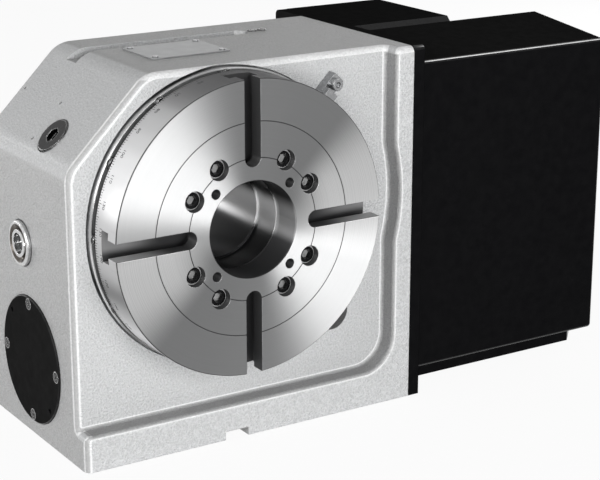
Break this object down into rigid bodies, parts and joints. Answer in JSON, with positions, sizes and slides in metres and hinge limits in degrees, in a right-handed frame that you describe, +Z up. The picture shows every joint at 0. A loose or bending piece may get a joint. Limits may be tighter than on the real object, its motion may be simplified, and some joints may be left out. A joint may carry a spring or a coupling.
{
  "type": "cnc rotary table",
  "caption": "CNC rotary table with a T-slotted round face plate on a worm-driven spindle, a bevelled cast housing and a black motor cover at its side.",
  "frame": {"origin": "on the base plane, at the key slot's centre line, under the spindle axis, level with the casting's front panel", "axes": "+X to the right towards the motor, +Y from the face plate to the back along the spindle, +Z up"},
  "size_m": [0.439, 0.223, 0.2593],
  "materials": {
    "paint": "satin hammered paint",
    "turned_steel": "turned",
    "ground_steel": "ground",
    "black_oxide": "black oxide",
    "zinc_steel": "zinc plated",
    "black_gloss": "gloss",
    "bronze": "machined",
    "rubber": "matte",
    "iron": "machined",
    "friction": "matte",
    "glass": "clear",
    "motor_paint": "satin",
    "plastic": "matte",
    "plate_alu": "satin"
  },
  "bodies": {
    "housing": {"body_casting": "paint", "retainer_ring": "ground_steel", "retainer_screws": "black_oxide", "main_bearing_outer": "ground_steel", "front_oil_seal": "rubber", "brake_ring": "friction", "rear_housing": "iron", "rear_housing_screws": "black_oxide", "rear_bearing_outer": "ground_steel", "rear_oil_seal": "rubber", "worm_left_bearing_outer": "ground_steel", "worm_right_bearing_outer": "ground_steel", "worm_end_cover": "black_gloss", "worm_cover_screws": "black_oxide", "worm_oil_seal": "rubber", "sight_glass_bezel": "zinc_steel", "sight_glass_lens": "glass", "sight_glass_gasket": "rubber", "oil_fill_plug": "black_oxide", "drain_plug": "black_oxide", "pointer_block": "zinc_steel", "pointer_screw": "zinc_steel", "nameplate": "plate_alu", "nameplate_screws": "zinc_steel", "port_plugs": "black_oxide", "flange_plate": "black_gloss", "flange_plate_screws": "black_oxide", "motor_cover": "black_gloss", "rear_box": "black_gloss", "cover_base_plate": "black_gloss", "cover_screws": "zinc_steel", "motor_housing": "motor_paint", "motor_encoder_cap": "plastic", "motor_screws": "zinc_steel", "drive_belt": "rubber", "clamp_valve": "plate_alu", "power_connector": "zinc_steel", "air_inlet": "bronze"},
    "table": {"platter": "turned_steel", "platter_bolts": "black_oxide", "spindle": "ground_steel", "main_bearing_inner": "ground_steel", "bearing_spacer": "ground_steel", "worm_wheel": "bronze", "brake_disc": "ground_steel", "spindle_nut": "black_oxide", "rear_bearing_inner": "ground_steel"},
    "roller_set": {"main_bearing_rollers": "ground_steel"},
    "worm": {"worm_shaft": "ground_steel", "worm_left_bearing_inner": "ground_steel", "worm_right_bearing_inner": "ground_steel", "worm_lock_nut": "black_oxide", "worm_pulley": "plate_alu"},
    "motor_rotor": {"motor_shaft": "ground_steel", "motor_pulley": "plate_alu"},
    "brake": {"brake_piston": "iron"}
  },
  "joints": [
    {"name": "table_turn", "type": "hinge", "parent": "housing", "child": "table", "pos_m": [0, 0, 0.155], "axis": [0, 1, 0], "continuous": true},
    {"name": "roller_orbit", "type": "hinge", "parent": "housing", "child": "roller_set", "pos_m": [0, 0, 0.155], "axis": [0, 1, 0], "continuous": true},
    {"name": "worm_turn", "type": "hinge", "parent": "housing", "child": "worm", "pos_m": [0, 0.067, 0.0545], "axis": [1, 0, 0], "continuous": true},
    {"name": "motor_turn", "type": "hinge", "parent": "housing", "child": "motor_rotor", "pos_m": [0, 0.031, 0.15], "axis": [1, 0, 0], "continuous": true},
    {"name": "brake_press", "type": "slide", "parent": "housing", "child": "brake", "axis": [0, -1, 0], "range_m": [0, 0.0004], "stiffness_N_per_m": 5000}
  ],
  "couplings": [
    {"joint": "roller_orbit", "follows": "table_turn", "ratio": 0.476},
    {"joint": "worm_turn", "follows": "table_turn", "ratio": 72},
    {"joint": "motor_turn", "follows": "table_turn", "ratio": 90}
  ]
}
